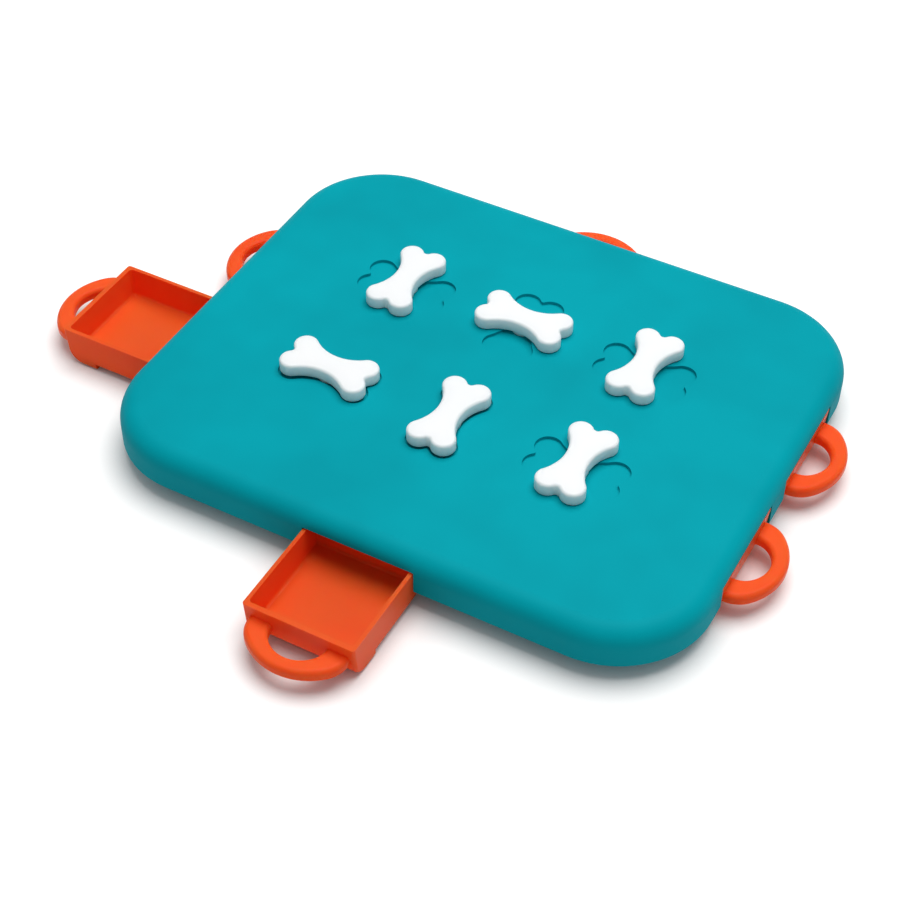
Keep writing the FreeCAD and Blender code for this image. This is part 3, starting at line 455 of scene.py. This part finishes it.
for outer, inner in GROOVES:
    def in_groove(centre, normal, outer=outer, inner=inner):
        on_tread = normal.z < -FACING and centre.z < FOOT_TREAD + TREAD_BAND
        return on_tread and inner < math.hypot(centre.x, centre.y) < outer

    pick(foot, in_groove)
    bpy.ops.mesh.extrude_region_move(TRANSFORM_OT_translate={"value": (0, 0, GROOVE_DEPTH)})
settle(foot, foot_rubber)
bpy.ops.object.shade_smooth_by_angle(angle=SMOOTH_ANGLE)
for name, (x, y) in FEET.items():
    piece = copy_to(foot, f"grooved_{name}", (x * MM, y * MM, 0))
    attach(piece, "board")
    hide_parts(name)
bpy.data.objects.remove(foot)


# Floor
# A plain white studio table. Its faint glow makes it white to the camera. Ambient occlusion fades the
# glow in the crevices under the object, which paints a darker contact shadow there on top of the real
# one.
# Past the shadow the glow rises, and the table's far edge is lost.

FLOOR_HEIGHT = cad_box[0].z
FLOOR_SIZE = 6.0
FLOOR_COLOUR = "#EEEDEC"
NEAR_GLOW = 0.3
FAR_GLOW = 1.0
SHADOW_END = 0.45
WHITE_FROM = 1.4
# Reach and steepness of the painted contact shade: the glow fades by ambient occlusion near the object.
CREVICE = 28 * MM
CREVICE_POWER = 1.6


def seen_directly(tree):
    """One for rays from the camera, a gloss or a clear piece, and zero for the rays that light things."""
    path = add_node(tree, "ShaderNodeLightPath")
    mirrored = add_node(tree, "ShaderNodeMath", {"operation": "MAXIMUM"},
                        {0: path.outputs["Is Camera Ray"], 1: path.outputs["Is Glossy Ray"]})
    seen = add_node(tree, "ShaderNodeMath", {"operation": "MAXIMUM"},
                    {0: mirrored.outputs[0], 1: path.outputs["Is Transmission Ray"]})
    return seen.outputs[0]


bpy.ops.object.select_all(action="DESELECT")
bpy.ops.mesh.primitive_plane_add(size=FLOOR_SIZE, location=(0, 0, FLOOR_HEIGHT))
floor = bpy.context.object
floor.name = "studio_floor"
floor_material = bpy.data.materials.new("White studio table")
floor_material.use_nodes = True
tree = floor_material.node_tree
tree.nodes.clear()
paint = add_node(tree, "ShaderNodeBsdfDiffuse", {"Color": linear(FLOOR_COLOUR)})
# Painted shade: ambient occlusion takes the glow away in the crevices under the object.
near = add_node(tree, "ShaderNodeAmbientOcclusion", {"samples": 8, "Distance": CREVICE})
painted_shade_factor = add_node(tree, "ShaderNodeMath", {"operation": "POWER", 1: CREVICE_POWER},
                    {0: near.outputs["AO"]})
shaded = add_node(tree, "ShaderNodeMath", {"operation": "MULTIPLY"},
                  {0: seen_directly(tree), 1: painted_shade_factor.outputs[0]})
place = add_node(tree, "ShaderNodeTexCoord").outputs["Object"]
reach = add_node(tree, "ShaderNodeVectorMath", {"operation": "LENGTH"}, {0: place})
rise = add_node(tree, "ShaderNodeMapRange",
                {"From Min": SHADOW_END, "From Max": WHITE_FROM, "To Min": NEAR_GLOW, "To Max": FAR_GLOW},
                {"Value": reach.outputs["Value"]})
level = add_node(tree, "ShaderNodeMath", {"operation": "MULTIPLY"},
                 {0: shaded.outputs[0], 1: rise.outputs["Result"]})
glow = add_node(tree, "ShaderNodeEmission", {"Color": (1, 1, 1, 1)}, {"Strength": level.outputs[0]})
both = add_node(tree, "ShaderNodeAddShader", links={0: paint.outputs[0], 1: glow.outputs[0]})
add_node(tree, "ShaderNodeOutputMaterial", links={"Surface": both.outputs[0]})
floor.data.materials.append(floor_material)


# Light
# Soft studio light: one wide overhead panel a little behind the board, which gives the soft shadows
# in front of it, and a low even sky.

SKY_COLOUR = "#F4F7FA"
SKY_STRENGTH = 0.24
PANEL_SPOT = (0.1, 0.5, 2.4)
PANEL_SIZE = 2.2
PANEL_POWER = 60.0

world = bpy.data.worlds.new("Studio")
world.use_nodes = True
bpy.context.scene.world = world
tree = world.node_tree
tree.nodes.clear()
white = add_node(tree, "ShaderNodeBackground", {"Color": (1, 1, 1, 1), "Strength": 1.0})
sky = add_node(tree, "ShaderNodeBackground", {"Color": linear(SKY_COLOUR), "Strength": SKY_STRENGTH})
mix = add_node(tree, "ShaderNodeMixShader",
               links={0: seen_directly(tree), 1: sky.outputs[0], 2: white.outputs[0]})
add_node(tree, "ShaderNodeOutputWorld", links={"Surface": mix.outputs[0]})

panel_data = bpy.data.lights.new("overhead_panel", "AREA")
panel_data.shape = "DISK"
panel_data.size = PANEL_SIZE
panel_data.energy = PANEL_POWER
panel = bpy.data.objects.new("overhead_panel", panel_data)
bpy.context.scene.collection.objects.link(panel)
panel.location = PANEL_SPOT
panel.rotation_euler = (-Vector(PANEL_SPOT)).to_track_quat("-Z", "Y").to_euler()


# Camera
# The photograph's view: from the front and to the right, about 45 degrees above the table. The angles,
# the distance and the focal length were fitted to the outlines of the board, its knobs and drawers.

AZIMUTH = math.radians(28.30)
ELEVATION = math.radians(44.85)
ROLL = math.radians(0.47)
DISTANCE = 984.3 * MM
AIM = Vector((-4.66 * MM, -31.13 * MM, FLOOR_HEIGHT))
FOCAL_PIXELS = 1902.5
IMAGE_PIXELS = 900
SENSOR_WIDTH = 36

level_out = math.cos(ELEVATION)
back = Vector((math.sin(AZIMUTH) * level_out, -math.cos(AZIMUTH) * level_out, math.sin(ELEVATION)))
right = (-back).cross(Vector((0, 0, 1))).normalized()
up = right.cross(-back)
camera_data = bpy.data.cameras.new("Camera")
camera_data.sensor_width = SENSOR_WIDTH
camera_data.lens = SENSOR_WIDTH * FOCAL_PIXELS / IMAGE_PIXELS
camera = bpy.data.objects.new("Camera", camera_data)
bpy.context.scene.collection.objects.link(camera)
tilt_right = right * math.cos(ROLL) + up * math.sin(ROLL)
tilt_up = up * math.cos(ROLL) - right * math.sin(ROLL)
turn = Matrix((tilt_right, tilt_up, back)).transposed()
camera.matrix_world = Matrix.Translation(AIM + back * DISTANCE) @ turn.to_4x4()
bpy.context.scene.camera = camera
bpy.context.scene.view_settings.view_transform = "Standard"
